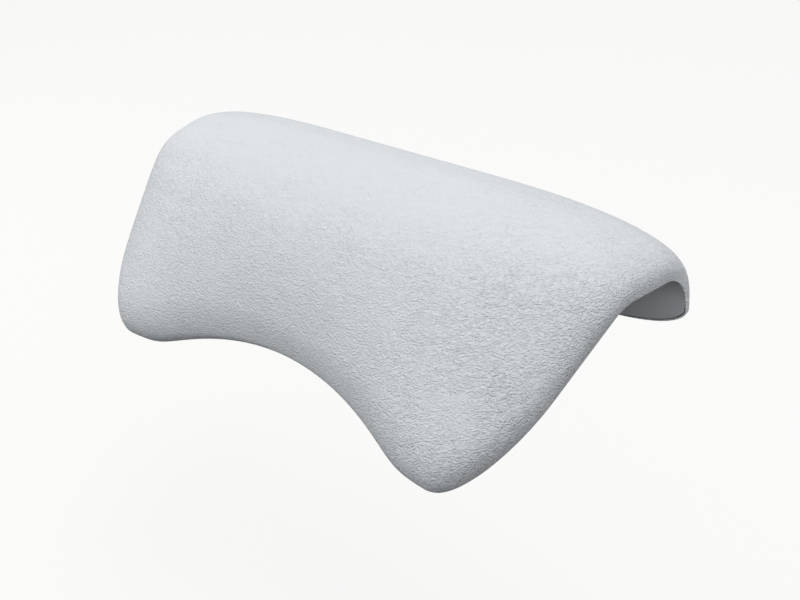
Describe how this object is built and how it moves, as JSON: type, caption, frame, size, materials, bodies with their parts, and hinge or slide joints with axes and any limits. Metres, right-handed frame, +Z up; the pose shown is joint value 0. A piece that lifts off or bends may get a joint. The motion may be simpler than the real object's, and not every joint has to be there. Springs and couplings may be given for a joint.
{
  "type": "bath pillow",
  "caption": "Saddle-shaped foam bath pillow: padded head wall with a neck scoop, ridge that seats on the bath rim, rear hook lip, and suction cups under the wall.",
  "frame": {"origin": "middle of the flat seat on the underside, where the pillow lies on the bath rim", "axes": "+X along the rim, +Z up, -Y towards the bather; the front wall falls towards -Y and the lip hangs at +Y"},
  "size_m": [0.35, 0.1621, 0.1117],
  "materials": {
    "grained_skin": "fine leather grain, satin",
    "foam": "moulded open foam, matt",
    "smooth_skin": "smooth moulded skin, satin",
    "spring_steel": "rolled strip",
    "socket_plastic": "moulded, satin",
    "clear_rubber": "smooth, glossy"
  },
  "bodies": {
    "headrest": {"headrest_cover": "grained_skin", "headrest_foam": "foam", "headrest_liner": "smooth_skin", "hook_spring_left": "spring_steel", "hook_spring_right": "spring_steel", "socket_upper_left": "socket_plastic", "socket_upper_right": "socket_plastic", "socket_lower_left": "socket_plastic", "socket_lower_right": "socket_plastic"},
    "lip": {"lip_cover": "grained_skin", "lip_foam": "foam", "lip_liner": "smooth_skin"},
    "cup_upper_left": {"suction_cup_upper_left": "clear_rubber"},
    "cup_upper_right": {"suction_cup_upper_right": "clear_rubber"},
    "cup_lower_left": {"suction_cup_lower_left": "clear_rubber"},
    "cup_lower_right": {"suction_cup_lower_right": "clear_rubber"}
  },
  "joints": [
    {"name": "lip_flex", "type": "hinge", "parent": "headrest", "child": "lip", "pos_m": [0, 0.012, 0.0278], "axis": [1, 0, 0], "range_deg": [0, 20], "stiffness_Nm_per_rad": 2, "deforming": ["hook_spring_left", "hook_spring_right"]},
    {"name": "cup_upper_left_press", "type": "slide", "parent": "headrest", "child": "cup_upper_left", "axis": [0, -0.7071, 0.7071], "range_m": [0, 0.003], "stiffness_N_per_m": 800},
    {"name": "cup_upper_right_press", "type": "slide", "parent": "headrest", "child": "cup_upper_right", "axis": [0, -0.7071, 0.7071], "range_m": [0, 0.003], "stiffness_N_per_m": 800},
    {"name": "cup_lower_left_press", "type": "slide", "parent": "headrest", "child": "cup_lower_left", "axis": [0, -0.7071, 0.7071], "range_m": [0, 0.003], "stiffness_N_per_m": 800},
    {"name": "cup_lower_right_press", "type": "slide", "parent": "headrest", "child": "cup_lower_right", "axis": [0, -0.7071, 0.7071], "range_m": [0, 0.003], "stiffness_N_per_m": 800}
  ]
}
